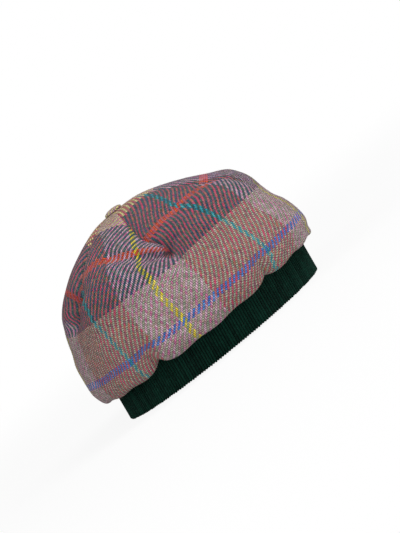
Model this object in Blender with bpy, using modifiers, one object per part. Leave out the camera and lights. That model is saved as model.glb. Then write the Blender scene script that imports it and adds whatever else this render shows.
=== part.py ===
# A puffed tweed beret on a ribbed knit headband, resting on its headband.
# Metres, +Z up, +X towards the front, +Y towards the wearer's left.
# The origin is on the floor below the middle of the crown's widest ring.

import math

import bmesh
import bpy
from mathutils import Vector

# Headband: the outside measures lie over the tops of the ribs.
BAND_LENGTH = 0.2014
BAND_WIDTH = 0.160
BAND_HEIGHT = 0.0350
BAND_WALL = 0.0034
BAND_LEAN = 0.155          # how far the band runs forward for each unit that it rises
BAND_SET_BACK = 0.0033     # from the crown's middle back to the band's middle, at the floor
BAND_FOLD_ROUND = 0.0014   # rounding of the folded lower edge
RIB_PITCH = 0.0030
RIB_DEPTH = 0.0007

# Crown
CROWN_LENGTH = 0.2336
CROWN_WIDTH = 0.212
CROWN_TOP = 0.1445         # height of the cloth below the button
CROWN_WALL = 0.0022
CROWN_DROP = 0.0103        # how far the crown hangs below the top of the band
FRONT_LIFT = 0.0040        # how much higher its lower edge is in front than behind
SEAM_GAP = 0.0003          # between the band's top edge and the cloth sewn over it
SEAM_LAP = 0.0022          # how far the cloth reaches over the band's top edge
HEM_CLEARANCE = 0.0008     # between the cloth's underside and the ribs beside the seam

# Six darts gather the top, and six tucks between them gather the lower edge.
DART_COUNT = 6
DART_TURN = math.radians(4.5)   # from the wearer's right round to the first dart
DART_LENGTH = 0.108
DART_DEPTH = 0.0080
DART_SHARPNESS = 0.55      # share of the depth that is a sharp crease, the rest a soft trough
CREASE_WIDTH = 0.07        # widths of both, as shares of half a lobe
TROUGH_WIDTH = 0.30
LOBE_DROP = 0.0040         # how much lower the cloth lies at a dart than between two
SHOULDER_DENT = 0.0035     # depth of the dents that run from a dart's end round the shoulder
SHOULDER_DENT_WIDTH = 0.0095
TUCK_RISE = 0.0080
TUCK_PINCH = 0.0042        # how far a tuck draws the cloth towards the band
TUCK_HALF_WIDTH = 0.0038
TUCK_REACH = 0.042         # how far up the side a tuck fades out
TUCK_SHIFT = math.radians(-3.0)     # turn of the tucks from halfway between two darts
FRONT_REACH = 0.060        # how far up the side the lift of the front edge fades out
HEM_RIPPLE = 0.0007

# Each dart in turn from the wearer's right: degrees that it turns away from its even place
# near the button and at its tip, its length and depth as shares of the usual, and the
# strength of the tuck that follows it.
DARTS = (
    {"top": -5.5, "tip": 1.0, "length": 1.00, "depth": 1.20, "tuck": 0.50},
    {"top": 4.0, "tip": 15.0, "length": 0.96, "depth": 0.45, "tuck": 0.80},
    {"top": 0.0, "tip": 6.0, "length": 1.02, "depth": 0.90, "tuck": 0.70},
    {"top": 1.5, "tip": -2.0, "length": 0.95, "depth": 1.00, "tuck": 0.90},
    {"top": 0.0, "tip": 1.5, "length": 1.00, "depth": 0.90, "tuck": 0.70},
    {"top": -8.5, "tip": -16.0, "length": 0.90, "depth": 1.70, "tuck": 1.00},
)

# Soft valleys of the cloth between two places, given as degrees round from the wearer's
# right and metres from the button. One with a depth below 0 is a low ridge.
VALLEYS = (
    {"turn": -26, "run": 0.074, "end_turn": 3, "end_run": 0.104, "width": 0.0075, "depth": 0.0046},
    {"turn": 24, "run": 0.078, "end_turn": 30, "end_run": 0.104, "width": 0.0070, "depth": 0.0030},
    {"turn": -7, "run": 0.116, "end_turn": -9, "end_run": 0.160, "width": 0.0130, "depth": 0.0046},
    {"turn": 11, "run": 0.112, "end_turn": 7, "end_run": 0.158, "width": 0.0090, "depth": -0.0030},
    {"turn": 52, "run": 0.120, "end_turn": 46, "end_run": 0.160, "width": 0.0120, "depth": 0.0020},
    {"turn": 150, "run": 0.080, "end_turn": 158, "end_run": 0.150, "width": 0.0110, "depth": 0.0034},
    {"turn": 214, "run": 0.112, "end_turn": 208, "end_run": 0.165, "width": 0.0130, "depth": 0.0030},
    {"turn": 262, "run": 0.084, "end_turn": 254, "end_run": 0.120, "width": 0.0090, "depth": 0.0030},
)
VALLEY_RADIUS = 0.085      # metres round for each radian, when a valley is measured

# Button
BUTTON_DIAMETER = 0.0165
BUTTON_HEIGHT = 0.0036
BUTTON_SWELL = 0.22        # height of its widest ring, as a share of its height
BUTTON_SEAT = 0.94         # width of its underside, as a share of its diameter
BUTTON_GAP = 0.0003

# Mesh fineness
COLUMNS_PER_HALF_LOBE = 7
BUTTON_STEPS = 24
BUTTON_ARC_STEPS = 6

# The crown's section from the button to its widest ring. Reach is a share of the crown's
# half length and half width, height a share of the way from its lowest edge to its top,
# and forward a share of the half length.
DOME_SECTIONS = (
    {"reach": 0.000, "height": 1.000, "forward": -0.050},
    {"reach": 0.170, "height": 0.996, "forward": -0.035},
    {"reach": 0.310, "height": 0.960, "forward": -0.028},
    {"reach": 0.510, "height": 0.878, "forward": -0.018},
    {"reach": 0.658, "height": 0.797, "forward": -0.004},
    {"reach": 0.765, "height": 0.733, "forward": 0.020},
    {"reach": 0.836, "height": 0.655, "forward": 0.018},
    {"reach": 0.872, "height": 0.580, "forward": 0.014},
    {"reach": 0.896, "height": 0.500, "forward": 0.002},
    {"reach": 0.922, "height": 0.410, "forward": -0.003},
    {"reach": 0.962, "height": 0.325, "forward": 0.000},
    {"reach": 0.987, "height": 0.220, "forward": 0.003},
    {"reach": 1.000, "height": 0.115, "forward": 0.000},
    {"reach": 0.985, "height": 0.052, "forward": -0.006},
)

# The turned-under edge. Reach is a share of the overhang from the band's outside to the
# crown's widest ring, and rise a share of the drop from the band's top edge.
UNDER_SECTIONS = (
    {"reach": 0.780, "rise": 0.080},
    {"reach": 0.540, "rise": 0.000},
    {"reach": 0.300, "rise": 0.160},
    {"reach": 0.130, "rise": 0.560},
)

# How deep a dart is along its length, as shares of the dart's length and depth.
DART_SECTIONS = (
    {"distance": 0.08, "depth": 0.00},
    {"distance": 0.30, "depth": 0.22},
    {"distance": 0.60, "depth": 0.42},
    {"distance": 0.88, "depth": 0.85},
    {"distance": 1.02, "depth": 1.00},
    {"distance": 1.16, "depth": 0.50},
    {"distance": 1.32, "depth": 0.00},
)

# Where each effect comes in and fades, as shares of the dart's length from the button.
CREASE_FADE = (0.90, 1.15)
LOBE_RISE = (0.10, 0.80)
LOBE_FADE = (0.95, 1.35)
ROW_PULL_FADE = (0.70, 1.20)
TURN_CHANGE = (0.65, 1.00)
TURN_FADE = (1.15, 1.60)
SHOULDER_DENT_PLACE = 0.90
OWN_SHAPE_REACH = 0.70     # nearness to a dart from which it has its own length and depth

# Where the cloth's turn from darts to tucks happens, as shares of its run to the seam.
SHIFT_SPAN = (0.55, 0.90)

# Rows of the crown's mesh: where each span ends, as a share of the cloth's run from the
# button to the corner where it turns over the band, and how many rows it has.
ROW_SPANS = (
    {"end": 0.36, "rows": 5},
    {"end": 0.60, "rows": 7},
    {"end": 0.85, "rows": 4},
    {"end": 1.00, "rows": 6},
)

LOBE_ANGLE = 2 * math.pi / DART_COUNT
CROWN_LOW = BAND_HEIGHT - CROWN_DROP


def smooth_step(low, high, value):
    share = min(max((value - low) / (high - low), 0.0), 1.0)
    return share * share * (3 - 2 * share)


def read_table(table, key, column, value):
    # straight-line reading of one column of a table, held at its ends
    if value <= table[0][key]:
        return table[0][column]
    for before, after in zip(table, table[1:]):
        if value <= after[key]:
            share = (value - before[key]) / (after[key] - before[key])
            return before[column] + share * (after[column] - before[column])
    return table[-1][column]


def band_middle(height):
    return -BAND_SET_BACK + BAND_LEAN * height


def oval_point(half_length, half_width, middle, height, turn):
    # turn runs from the wearer's right, -Y, towards the front, +X
    return Vector((
        middle + half_length * math.sin(turn),
        -half_width * math.cos(turn),
        height,
    ))


def oval_outward(half_length, half_width, turn):
    return Vector((half_width * math.sin(turn), -half_length * math.cos(turn), 0)).normalized()


def even_turns(half_length, half_width, count):
    # turns that share an oval's outline into equal lengths
    fine_steps = count * 4
    lengths = [0.0]
    before = oval_point(half_length, half_width, 0, 0, 0)
    for step in range(1, fine_steps + 1):
        after = oval_point(half_length, half_width, 0, 0, 2 * math.pi * step / fine_steps)
        lengths.append(lengths[-1] + (after - before).length)
        before = after
    turns = []
    step = 0
    for index in range(count):
        wanted = lengths[-1] * index / count
        while lengths[step + 1] < wanted:
            step += 1
        share = (wanted - lengths[step]) / (lengths[step + 1] - lengths[step])
        turns.append(2 * math.pi * (step + share) / fine_steps)
    return turns


class CrownSection:
    # A smooth curve through ovals (half length, half width, middle, height), from the
    # button to the seam, measured along the cloth.

    def __init__(self):
        self.ovals = self.dome_ovals() + self.under_ovals() + self.seam_ovals()
        self.distances = [0.0]
        for before, after in zip(self.ovals, self.ovals[1:]):
            run = (after[0] + after[1] - before[0] - before[1]) / 2
            self.distances.append(self.distances[-1] + math.hypot(run, after[3] - before[3]))
        self.length = self.distances[-1]
        self.corner = self.distances[-2]
        self.lowest = self.distances[len(DOME_SECTIONS) + 1]
        self.slopes = self.find_slopes()

    def dome_ovals(self):
        return [
            (
                row["reach"] * CROWN_LENGTH / 2,
                row["reach"] * CROWN_WIDTH / 2,
                row["forward"] * CROWN_LENGTH / 2,
                CROWN_LOW + row["height"] * (CROWN_TOP - CROWN_LOW),
            )
            for row in DOME_SECTIONS
        ]

    def under_ovals(self):
        ovals = []
        for row in UNDER_SECTIONS:
            height = CROWN_LOW + row["rise"] * CROWN_DROP
            share = row["reach"]
            ovals.append((
                BAND_LENGTH / 2 + share * (CROWN_LENGTH - BAND_LENGTH) / 2,
                BAND_WIDTH / 2 + share * (CROWN_WIDTH - BAND_WIDTH) / 2,
                (1 - share) * band_middle(height),
                height,
            ))
        return ovals

    def seam_ovals(self):
        beside = HEM_CLEARANCE
        over = -SEAM_LAP
        height = BAND_HEIGHT + SEAM_GAP
        return [
            (BAND_LENGTH / 2 + offset, BAND_WIDTH / 2 + offset, band_middle(height), height)
            for offset in (beside, over)
        ]

    def find_slopes(self):
        # the pole's neighbour is mirrored, so that the top is level at the button
        mirrored = (-self.ovals[1][0], -self.ovals[1][1], *self.ovals[1][2:])
        ovals = [mirrored] + self.ovals + [self.ovals[-1]]
        distances = [-self.distances[1]] + self.distances + [self.length + 1e-9]
        slopes = []
        for index in range(1, len(ovals) - 1):
            span = distances[index + 1] - distances[index - 1]
            slopes.append([
                (after - before) / span
                for before, after in zip(ovals[index - 1], ovals[index + 1])
            ])
        return slopes

    def oval(self, distance):
        distance = min(max(distance, 0.0), self.length)
        index = 0
        while index < len(self.distances) - 2 and self.distances[index + 1] < distance:
            index += 1
        span = self.distances[index + 1] - self.distances[index]
        share = (distance - self.distances[index]) / span
        start = (1 + 2 * share) * (1 - share) ** 2
        end = share ** 2 * (3 - 2 * share)
        leave = share * (1 - share) ** 2 * span
        arrive = share ** 2 * (share - 1) * span
        return [
            start * before + end * after + leave * slope + arrive * next_slope
            for before, after, slope, next_slope in zip(
                self.ovals[index], self.ovals[index + 1],
                self.slopes[index], self.slopes[index + 1],
            )
        ]

    def point(self, distance, turn):
        return oval_point(*self.oval(distance), turn)

    def outward(self, distance, turn):
        small = 0.0004
        inner = max(distance, small)
        down = self.point(inner + small, turn) - self.point(inner - small, turn)
        round_about = self.point(inner, turn + small) - self.point(inner, turn - small)
        return down.cross(round_about).normalized()


def dart_turn(dart, along):
    row = DARTS[dart % DART_COUNT]
    change = row["top"] + (row["tip"] - row["top"]) * smooth_step(*TURN_CHANGE, along)
    change *= 1 - smooth_step(*TURN_FADE, along)
    return DART_TURN + dart * LOBE_ANGLE + math.radians(change)


def cloth_turn(dart, near_dart, side, along):
    # near_dart is 1 on the dart and 0 halfway to the next one
    at_dart = dart_turn(dart, along)
    middle = (at_dart + dart_turn(dart + side, along)) / 2
    return middle + near_dart * (at_dart - middle)


def valley_inset(turn, distance):
    inset = 0.0
    for valley in VALLEYS:
        start_turn = math.radians(valley["turn"])
        span = math.radians(valley["end_turn"] - valley["turn"]) * VALLEY_RADIUS
        drop = valley["end_run"] - valley["run"]
        beside = (turn - start_turn + math.pi) % (2 * math.pi) - math.pi
        across = beside * VALLEY_RADIUS
        down = distance - valley["run"]
        share = (across * span + down * drop) / (span ** 2 + drop ** 2)
        share = min(max(share, 0.0), 1.0)
        off = math.hypot(across - share * span, down - share * drop)
        inset += valley["depth"] * math.exp(-(off / valley["width"]) ** 2)
    return inset


def dart_inset(dart, distance, near_dart):
    row = DARTS[dart % DART_COUNT]
    own = smooth_step(0.0, OWN_SHAPE_REACH, near_dart)
    length = DART_LENGTH * (1 + (row["length"] - 1) * own)
    strength = 1 + (row["depth"] - 1) * own
    along = distance / length
    sharp = DART_SHARPNESS * (1 - smooth_step(*CREASE_FADE, along))
    crease = sharp * math.exp((near_dart - 1) / CREASE_WIDTH)
    trough = (1 - sharp) * math.exp(-(((near_dart - 1) / TROUGH_WIDTH) ** 2))
    depth = strength * DART_DEPTH * read_table(DART_SECTIONS, "distance", "depth", along)
    lobe = smooth_step(*LOBE_RISE, along) * (1 - smooth_step(*LOBE_FADE, along))
    dent_place = (distance - SHOULDER_DENT_PLACE * length) / SHOULDER_DENT_WIDTH
    dent = math.exp(-dent_place ** 2) * smooth_step(0.15, 0.95, near_dart)
    dents = strength * SHOULDER_DENT * dent
    return depth * (crease + trough) + LOBE_DROP * lobe * near_dart ** 2 + dents


def crown_point(section, dart, near_dart, side, distance):
    # A row of the cloth runs straight across a lobe, so it lies further from the button
    # at a dart than between two darts, until the darts end.
    lean_out = 1 / math.cos(math.atan(near_dart * math.tan(LOBE_ANGLE / 2))) - 1
    pull = lean_out * distance * (1 - smooth_step(*ROW_PULL_FADE, distance / DART_LENGTH))
    place = min(distance + pull, section.length)
    down_side = smooth_step(*SHIFT_SPAN, place / section.length)
    turn = cloth_turn(dart, near_dart, side, place / DART_LENGTH) + TUCK_SHIFT * down_side
    inset = dart_inset(dart, distance, near_dart) + valley_inset(turn, distance)
    point = section.point(place, turn) - section.outward(place, turn) * inset

    # the tuck lifts the lower edge and pinches it towards the band
    from_tuck = near_dart * LOBE_ANGLE / 2 * (BAND_LENGTH + BAND_WIDTH) / 4
    strength = DARTS[(dart if side > 0 else dart - 1) % DART_COUNT]["tuck"]
    pinch = strength / (1 + (from_tuck / TUCK_HALF_WIDTH) ** 2)
    ripple = HEM_RIPPLE * math.cos(3 * math.pi * near_dart) * (1 - pinch)
    front = FRONT_LIFT * ((1 + math.sin(turn)) / 2) ** 2
    above = section.lowest - place
    under = max(-above, 0.0) / (section.length - section.lowest)
    seam_fade = 1 - smooth_step(0.0, 0.9, under)
    tuck_share = seam_fade * (1 - smooth_step(0.0, TUCK_REACH, above))
    front_share = seam_fade * (1 - smooth_step(0.0, FRONT_REACH, above))
    pinch_share = tuck_share * smooth_step(-TUCK_PINCH, 2 * TUCK_PINCH, above)
    point.z += tuck_share * (TUCK_RISE * pinch + ripple) + front_share * front
    point -= oval_outward(*section.oval(place)[:2], turn) * TUCK_PINCH * pinch * pinch_share
    return point


def crown_columns():
    # (dart, nearness to it, side) all round, closer together by the darts and the tucks
    columns = []
    steps = COLUMNS_PER_HALF_LOBE
    for dart in range(DART_COUNT):
        for step in range(steps):
            columns.append((dart, (1 + math.cos(math.pi * step / steps)) / 2, 1))
        for step in range(steps):
            columns.append((dart + 1, (1 - math.cos(math.pi * step / steps)) / 2, -1))
    return columns


def crown_rows(section):
    distances = []
    start = 0.0
    for span in ROW_SPANS:
        for step in range(1, span["rows"] + 1):
            share = start + (span["end"] - start) * step / span["rows"]
            distances.append(share * section.corner)
        start = span["end"]
    return distances + [section.length]


def make_material(name, colour, roughness):
    material = bpy.data.materials.new(name)
    material.use_nodes = True
    shader = material.node_tree.nodes["Principled BSDF"]
    shader.inputs["Base Color"].default_value = (*colour, 1)
    shader.inputs["Roughness"].default_value = roughness
    shader.inputs["Metallic"].default_value = 0.0
    material.diffuse_color = (*colour, 1)
    return material


def make_object(name, mesh, collection, material):
    piece = bpy.data.objects.new(name, mesh)
    collection.objects.link(piece)
    piece.data.materials.append(material)
    return piece


def make_crown(collection):
    section = CrownSection()
    columns = crown_columns()
    cloth = bmesh.new()
    pole = cloth.verts.new(section.point(0, 0))
    rings = [
        [cloth.verts.new(crown_point(section, *column, distance)) for column in columns]
        for distance in crown_rows(section)
    ]
    count = len(columns)
    for index in range(count):
        after = (index + 1) % count
        cloth.faces.new((pole, rings[0][index], rings[0][after]))
        for upper, lower in zip(rings, rings[1:]):
            cloth.faces.new((upper[index], lower[index], lower[after], upper[after]))
    mesh = bpy.data.meshes.new("crown")
    cloth.to_mesh(mesh)
    cloth.free()
    mesh.shade_smooth()
    tweed = make_material("tweed", (0.31, 0.20, 0.21), 0.9)
    crown = make_object("crown", mesh, collection, tweed)
    wall = crown.modifiers.new("wall", "SOLIDIFY")
    wall.thickness = CROWN_WALL
    wall.offset = -1
    wall.use_even_offset = False
    return crown


def make_headband(collection):
    half_length = BAND_LENGTH / 2
    half_width = BAND_WIDTH / 2
    outline = math.pi * (half_length + half_width)
    rib_count = round(outline / RIB_PITCH)
    turns = even_turns(half_length, half_width, 2 * rib_count)
    # inset from the outside, height
    profile = (
        (BAND_FOLD_ROUND, 0.0),
        (0.0, BAND_FOLD_ROUND),
        (0.0, BAND_HEIGHT),
        (BAND_WALL, BAND_HEIGHT),
        (BAND_WALL, 0.0),
    )
    knit = bmesh.new()
    rings = []
    for index, turn in enumerate(turns):
        valley = RIB_DEPTH * (index % 2)
        inward = -oval_outward(half_length, half_width, turn)
        rings.append([
            knit.verts.new(
                oval_point(half_length, half_width, band_middle(height), height, turn)
                + inward * (inset + valley)
            )
            for inset, height in profile
        ])
    for before, after in zip(rings, rings[1:] + rings[:1]):
        for corner in range(len(profile)):
            following = (corner + 1) % len(profile)
            knit.faces.new((before[corner], after[corner], after[following], before[following]))
    mesh = bpy.data.meshes.new("headband")
    knit.to_mesh(mesh)
    knit.free()
    rib_knit = make_material("rib_knit", (0.008, 0.045, 0.027), 0.85)
    return make_object("headband", mesh, collection, rib_knit)


def make_button(collection):
    radius = BUTTON_DIAMETER / 2
    swell = BUTTON_HEIGHT * BUTTON_SWELL
    outline = [(0.0, BUTTON_HEIGHT)]
    for step in range(1, BUTTON_ARC_STEPS + 1):
        angle = math.pi / 2 * step / BUTTON_ARC_STEPS
        outline.append((
            radius * math.sin(angle),
            swell + (BUTTON_HEIGHT - swell) * math.cos(angle),
        ))
    outline += [(radius * BUTTON_SEAT, 0.0), (0.0, 0.0)]
    mesh = bpy.data.meshes.new("crown_button")
    edges = [(index, index + 1) for index in range(len(outline) - 1)]
    mesh.from_pydata([(across, 0, up) for across, up in outline], edges, [])
    covered = make_material("button_tweed", (0.40, 0.30, 0.20), 0.9)
    button = make_object("crown_button", mesh, collection, covered)
    turned = button.modifiers.new("turned", "SCREW")
    turned.steps = BUTTON_STEPS
    turned.render_steps = BUTTON_STEPS
    turned.use_merge_vertices = True
    turned.merge_threshold = 0.00001
    forward = DOME_SECTIONS[0]["forward"] * CROWN_LENGTH / 2
    button.location = (forward, 0, CROWN_TOP + BUTTON_GAP)
    return button


def main():
    for old in list(bpy.data.objects):
        bpy.data.objects.remove(old, do_unlink=True)
    collection = bpy.data.collections.new("tweed_beret")
    bpy.context.scene.collection.children.link(collection)
    make_crown(collection)
    make_headband(collection)
    make_button(collection)
    bpy.context.view_layer.update()


main()
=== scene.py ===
import math

import bpy
import numpy as np
from mathutils import Matrix, Vector


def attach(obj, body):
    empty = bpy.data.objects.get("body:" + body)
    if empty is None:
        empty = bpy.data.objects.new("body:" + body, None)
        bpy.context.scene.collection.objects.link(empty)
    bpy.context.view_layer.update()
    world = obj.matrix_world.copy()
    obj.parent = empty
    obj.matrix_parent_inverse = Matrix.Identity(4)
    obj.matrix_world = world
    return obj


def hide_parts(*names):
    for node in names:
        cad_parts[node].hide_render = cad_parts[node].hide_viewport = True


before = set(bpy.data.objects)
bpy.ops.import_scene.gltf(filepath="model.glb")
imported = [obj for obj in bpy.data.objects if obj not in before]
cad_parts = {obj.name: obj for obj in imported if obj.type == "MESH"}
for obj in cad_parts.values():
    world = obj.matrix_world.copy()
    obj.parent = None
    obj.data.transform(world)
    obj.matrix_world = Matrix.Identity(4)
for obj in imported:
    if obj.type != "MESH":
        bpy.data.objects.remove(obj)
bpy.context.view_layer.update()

scene = bpy.context.scene
print("frame loaded")


# node trees: sockets in plain sums, and every other node from one method
def bothWays(operation):
    # an operator of Wire, and its reflected form
    def forward(self, other):
        return self.work(operation, self, other)

    def reflected(self, other):
        return self.work(operation, other, self)

    return forward, reflected


class Wire:
    # a socket that can be used in plain sums, such as 1 - mask
    def __init__(self, bench, socket):
        self.bench = bench
        self.socket = socket

    __add__, __radd__ = bothWays("ADD")
    __sub__, __rsub__ = bothWays("SUBTRACT")
    __mul__, __rmul__ = bothWays("MULTIPLY")
    __truediv__, __rtruediv__ = bothWays("DIVIDE")
    __mod__, __rmod__ = bothWays("FLOORED_MODULO")
    __pow__, __rpow__ = bothWays("POWER")
    __lt__, __gt__ = bothWays("LESS_THAN")

    def work(self, operation, *values):
        return self.bench.node("ShaderNodeMath", {"operation": operation}, dict(enumerate(values)))

    def floor(self):
        return self.work("FLOOR", self)

    def size(self):
        return self.work("ABSOLUTE", self)

    def sine(self):
        return self.work("SINE", self)

    def out(self, name):
        return Wire(self.bench, self.socket.node.outputs[name])


class Bench:
    # a node tree and the one method that adds nodes to it
    def __init__(self, tree):
        self.tree = tree

    def node(self, kind, settings=None, sockets=None, out=0):
        made = self.tree.nodes.new(kind)
        for name, value in (settings or {}).items():
            if name == "stops":
                ramp = made.color_ramp
                while len(ramp.elements) < len(value):
                    ramp.elements.new(1)
                for element, (place, colour) in zip(ramp.elements, value):
                    element.position = place
                    element.color = colour
            elif name == "blend":
                made.color_ramp.interpolation = value
            else:
                setattr(made, name, value)
        for name, value in (sockets or {}).items():
            if isinstance(value, Wire):
                self.tree.links.new(value.socket, made.inputs[name])
            else:
                made.inputs[name].default_value = value
        return Wire(self, made.outputs[out]) if made.outputs else None

    def split(self, vector):
        parts = self.node("ShaderNodeSeparateXYZ", None, {0: vector})
        return parts.out("X"), parts.out("Y"), parts.out("Z")

    def join(self, x, y, z=0.0):
        return self.node("ShaderNodeCombineXYZ", None, {0: x, 1: y, 2: z})

    def feed(self, value, shader, name):
        self.tree.links.new(value.socket, shader.inputs[name])

    def mixColour(self, share, first, second, blend="MIX"):
        return self.node(
            "ShaderNodeMix", {"data_type": "RGBA", "blend_type": blend},
            {0: share, 6: first, 7: second}, 2)

    def shadeColour(self, colour, shade):
        return self.mixColour(1.0, colour, self.join(shade, shade, shade), "MULTIPLY")

    def range(self, value, low, high, toLow=0.0, toHigh=1.0):
        return self.node(
            "ShaderNodeMapRange", {"interpolation_type": "SMOOTHSTEP"},
            {0: value, 1: low, 2: high, 3: toLow, 4: toHigh})

    def noise(self, vector, scale, detail=2.0, rough=0.5):
        return self.node(
            "ShaderNodeTexNoise", None,
            {"Vector": vector, "Scale": scale, "Detail": detail, "Roughness": rough})

    def bump(self, strength, distance, height):
        return self.node(
            "ShaderNodeBump", None,
            {"Strength": strength, "Distance": distance, "Height": height})

    def chance(self, low, high, sockets):
        # a number between two, fixed by its seed
        return self.node(
            "FunctionNodeRandomValue", {"data_type": "FLOAT"}, {2: low, 3: high, **sockets}, 1)


def between(share, first, second):
    return first + (second - first) * share


def about(amount, noise):
    # a brightness that the noise takes half of the amount below 1, or above it
    return 1 - amount / 2 + amount * noise


def screenColour(*shown):
    # a colour as a screen shows it, 0 to 255, as the numbers that Blender works in
    linear = [
        share / 12.92 if share <= 0.04045 else ((share + 0.055) / 1.055) ** 2.4
        for share in (value / 255 for value in shown)]
    return (*linear, 1)


def newFinish(name, look):
    material = bpy.data.materials.new(name)
    material.use_nodes = True
    shader = material.node_tree.nodes["Principled BSDF"]
    shader.inputs["Roughness"].default_value = look["roughness"]
    shader.inputs["Specular IOR Level"].default_value = look["specular"]
    shader.inputs["Sheen Weight"].default_value = look["sheen"]
    shader.inputs["Sheen Roughness"].default_value = look["sheenRoughness"]
    return material, Bench(material.node_tree), shader


# the cloth: a 2/2 twill check of marled yarns
clothLook = {
    "endPitch": 0.00122,        # metres from one warp thread to the next on the button
    "pickPitch": 0.00155,       # and from one weft thread to the next, there and on the side
    "repeat": 131,              # warp threads in one repeat of the check
    # each stripe of the warp: its first thread and its yarn
    "warp": [(0, "pink"), (22, "yellow"), (26, "pink"), (49, "red"), (102, "teal"), (106, "red")],
    # bands of the weft, counted in threads from the button
    "weft": [(0, "tan"), (24, "dark"), (48, "orange"), (52, "dark"), (78, "pale"),
             (105, "blue"), (109, "pale")],
    # each yarn, and the three colours spun into it
    "yarns": {
        "pink": ((171, 131, 151), (184, 151, 168), (164, 78, 122), (145, 117, 116)),
        "yellow": ((192, 170, 42), (202, 186, 84), (150, 146, 60), (192, 170, 42)),
        "red": ((148, 80, 90), (164, 94, 70), (114, 64, 86), (174, 50, 90)),
        "teal": ((30, 126, 138), (72, 156, 160), (24, 100, 120), (30, 126, 138)),
        "tan": ((178, 167, 116), (179, 173, 97), (184, 158, 126), (156, 157, 114)),
        "dark": ((28, 75, 80), (58, 94, 76), (24, 58, 92), (38, 62, 62)),
        "orange": ((174, 58, 24), (182, 80, 44), (138, 46, 34), (174, 58, 24)),
        "pale": ((133, 137, 118), (151, 152, 138), (108, 121, 102), (149, 132, 118)),
        "blue": ((54, 102, 166), (86, 130, 182), (46, 78, 142), (54, 102, 166)),
    },
    "lastPick": 200,            # weft threads that the list of bands spans
    "twill": 4,                 # threads in one repeat of the twill, each float goes over half
    "wobble": 0.30,             # how far threads wander from place to place, in threads
    "slowWobble": 3.2,          # and how many times that over a longer way
    "fineScale": 0.9, "slowScale": 0.11,    # how fast each changes, for each thread
    "spun": 0.80,               # how strongly the spun-in colours show in a yarn
    "alongYarn": 0.16,          # how fast they change along a yarn, for each thread
    "nextYarn": 3.7,            # and from one yarn to the next
    "weftLayer": 9.0, "weftLane": 0.37,     # keep the weft's chances unlike the warp's
    "mainSpan": (0.45, 0.75), "mainJitter": 0.5,        # where the first spun-in colour shows
    "fleckSpan": (0.72, 0.80), "lastDrift": 0.6,        # and the other two, in flecks
    "floatJitter": 0.32,        # how much the brightness changes from one float to the next
    "floatArch": 0.62,          # how much a float sinks at its ends, in relief and in painted shade
    "gapShade": 0.86,           # painted shade between threads and where a float dips under, 1 is black
    "lift": 1.46,               # makes up for the brightness that the painted shade between the threads takes
    "relief": 0.00042, "bump": 0.85,        # metres that a float stands up, and how strongly
    "hairScale": 2600, "hairShade": 0.40, "hairLump": 0.22,         # short hairs on the yarn
    "tuftScale": 700, "tuftSpan": (0.48, 0.74), "tuftLump": 0.25,   # pale tufts on it
    "fuzz": 0.16, "pale": (176, 160, 154),  # how much the tufts cover, and their colour
    "wearScale": 22, "wearShade": 0.24,     # lighter and darker patches
    "roughness": 0.95, "specular": 0.2, "sheen": 0.10, "sheenRoughness": 0.5,
}


def stripeRamp(bench, index, stripes, span, colour):
    yarns = clothLook["yarns"]
    stops = [(first / span, screenColour(*yarns[yarn][colour])) for first, yarn in stripes]
    return bench.node(
        "ShaderNodeValToRGB", {"blend": "CONSTANT", "stops": stops}, {0: (index + 0.5) / span})


def weaveYarns(bench, place):
    # colour, brightness and height of the cloth at a place counted in threads
    look = clothLook
    slow = bench.noise(place, look["slowScale"], detail=1.0)
    fine = bench.noise(place, look["fineScale"], detail=1.0)
    slowEnd, slowPick, _ = bench.split(slow.out("Color"))
    fineEnd, finePick, _ = bench.split(fine.out("Color"))
    end, pick, _ = bench.split(place)
    wobble, slowWobble = look["wobble"], look["slowWobble"] * look["wobble"]
    end = end + (slowEnd - 0.5) * slowWobble + (fineEnd - 0.5) * wobble
    pick = pick + (slowPick - 0.5) * slowWobble + (finePick - 0.5) * wobble
    endIndex, pickIndex = end.floor(), pick.floor()
    acrossEnd, acrossPick = end - endIndex, pick - pickIndex

    # a float goes over half of the twill's threads, and the next row starts one thread further on
    twill, over = look["twill"], look["twill"] / 2
    diagonal = endIndex + pickIndex
    step = diagonal % twill
    warpOnTop = step < over
    along = between(warpOnTop, step - over + acrossEnd, step + acrossPick) / over
    across = between(warpOnTop, acrossPick, acrossEnd)
    roundness = (across * math.pi).sine()
    arch = (along * math.pi).sine()
    height = roundness * (arch * look["floatArch"] + (1 - look["floatArch"]))

    # each float has its own number, and each yarn its own noise along it
    lane = between(warpOnTop, pickIndex + look["weftLane"], endIndex)
    chance = bench.node(
        "ShaderNodeTexWhiteNoise", {"noise_dimensions": "3D"},
        {"Vector": bench.join(lane, (diagonal / twill).floor(), warpOnTop)}, "Color")
    jitter, firstChance, secondChance = bench.split(chance)
    near, far = look["alongYarn"], look["nextYarn"]
    alongWarp = bench.noise(bench.join(endIndex * far, pick * near), 1.0)
    alongWeft = bench.noise(bench.join(end * near, pickIndex * far, look["weftLayer"]), 1.0)
    spun = between(warpOnTop, alongWeft, alongWarp)
    last = 1 - secondChance + (spun - 0.5) * look["lastDrift"]
    shares = [
        bench.range(spun + (firstChance - 0.5) * look["mainJitter"], *look["mainSpan"]),
        bench.range(secondChance + (spun - 0.5), *look["fleckSpan"]),
        bench.range(last, *look["fleckSpan"])]

    repeatPlace = endIndex % look["repeat"]
    yarns = [bench.mixColour(
        warpOnTop,
        stripeRamp(bench, pickIndex, look["weft"], look["lastPick"], which),
        stripeRamp(bench, repeatPlace, look["warp"], look["repeat"], which))
        for which in range(4)]
    colour = yarns[0]
    for share, spunIn in zip(shares, yarns[1:]):
        colour = bench.mixColour(share * look["spun"], colour, spunIn)
    level = (1 + (jitter - 0.5) * look["floatJitter"]) * look["lift"]
    return colour, level, height


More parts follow.
